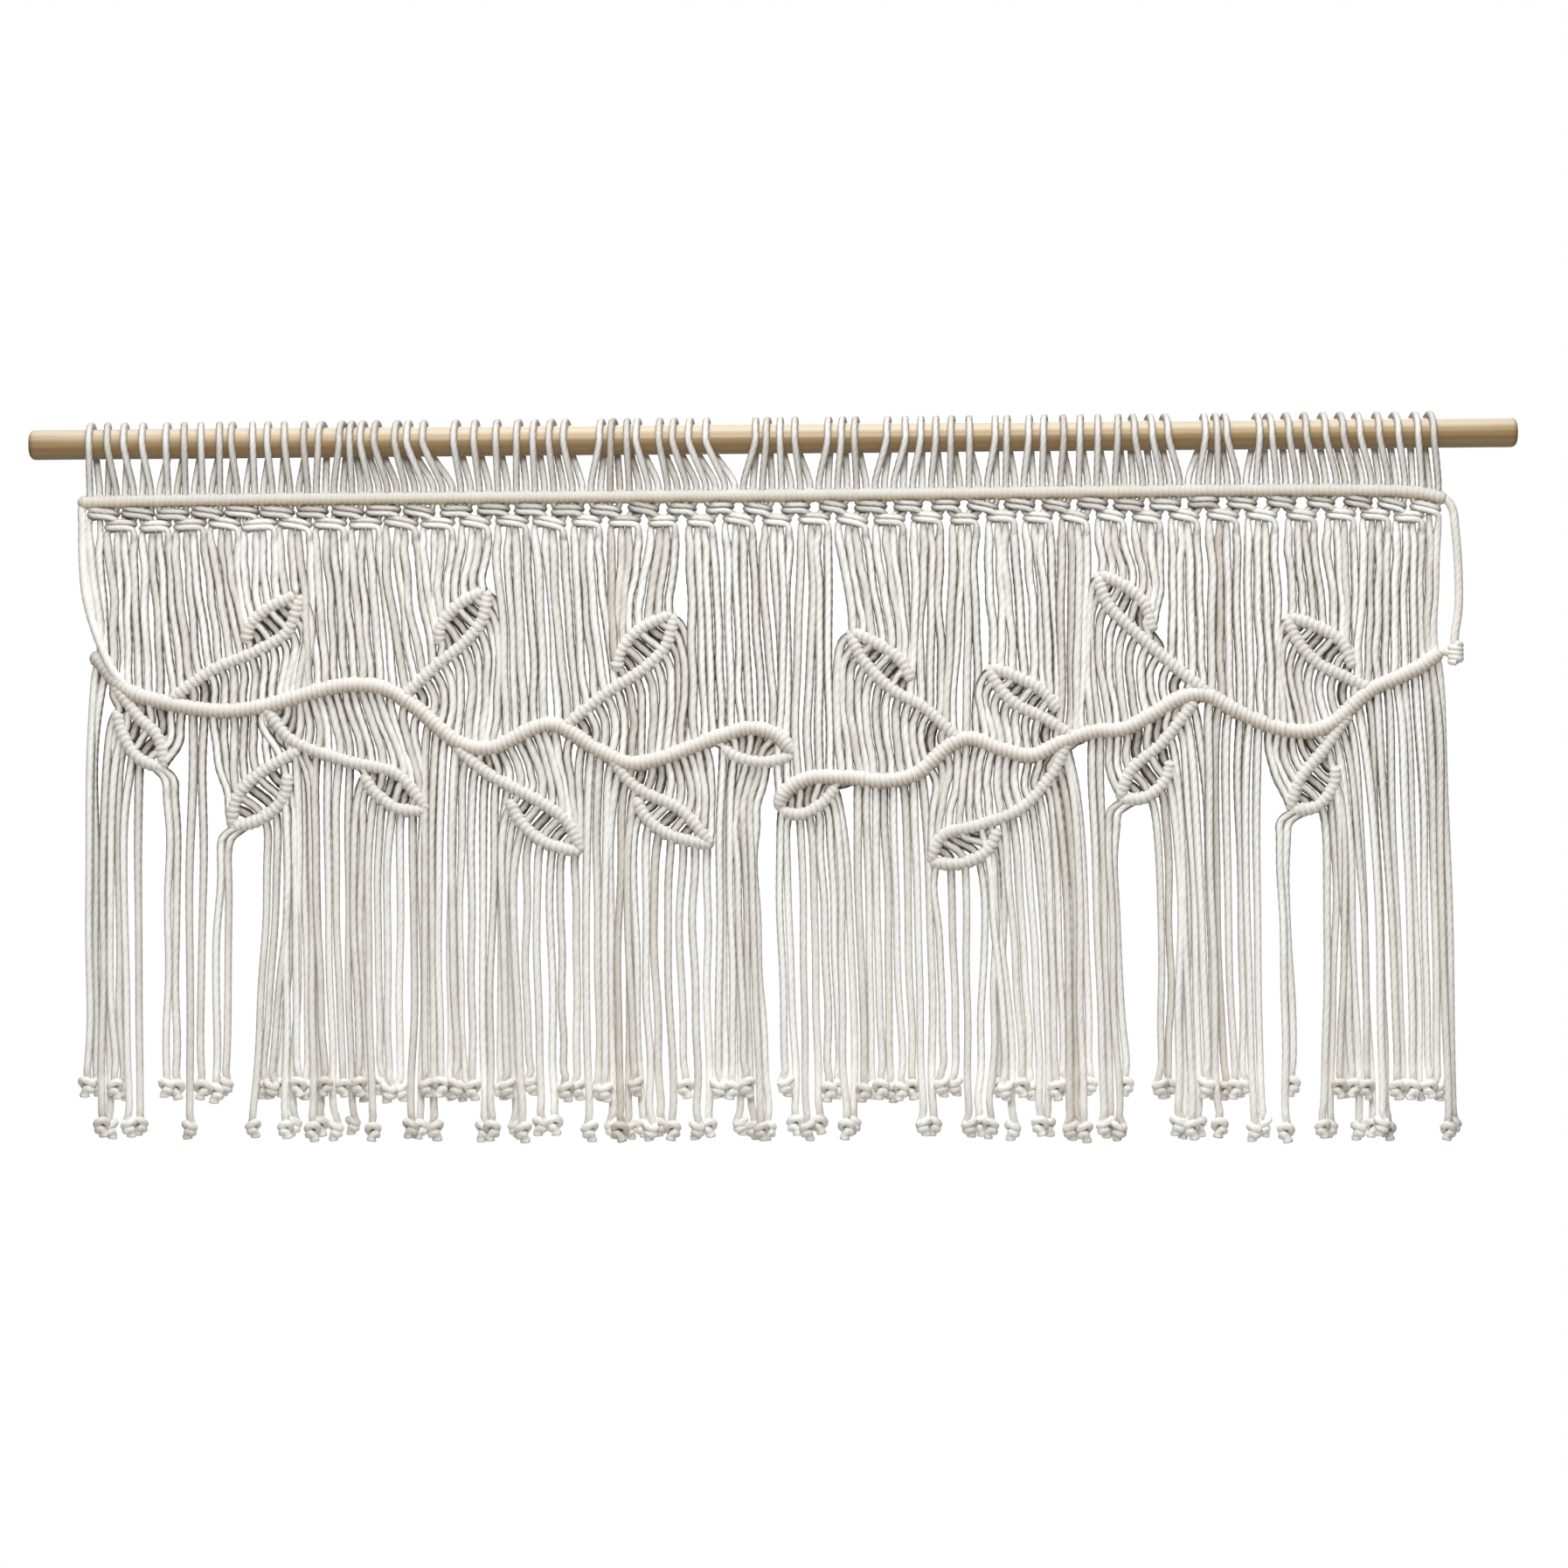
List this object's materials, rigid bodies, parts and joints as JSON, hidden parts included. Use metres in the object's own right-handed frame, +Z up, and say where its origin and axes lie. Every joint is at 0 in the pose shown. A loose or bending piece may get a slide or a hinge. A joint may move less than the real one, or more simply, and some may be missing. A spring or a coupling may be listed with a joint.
{
  "type": "macrame curtain on a wooden rod",
  "caption": "Knotted cotton macrame valance with wavy vines, leaves and a long knotted fringe, hung by folded cords on a plain wooden rod.",
  "frame": {"origin": "middle of the rod's axis", "axes": "+X along the rod to the right, +Z up, the front of the curtain faces -Y"},
  "size_m": [1.1, 0.0338, 0.5381],
  "materials": {
    "rod_wood": "satin",
    "cotton_cord": "matte"
  },
  "bodies": {
    "root": {"rod": "rod_wood", "macrame_net": "cotton_cord"}
  },
  "joints": []
}
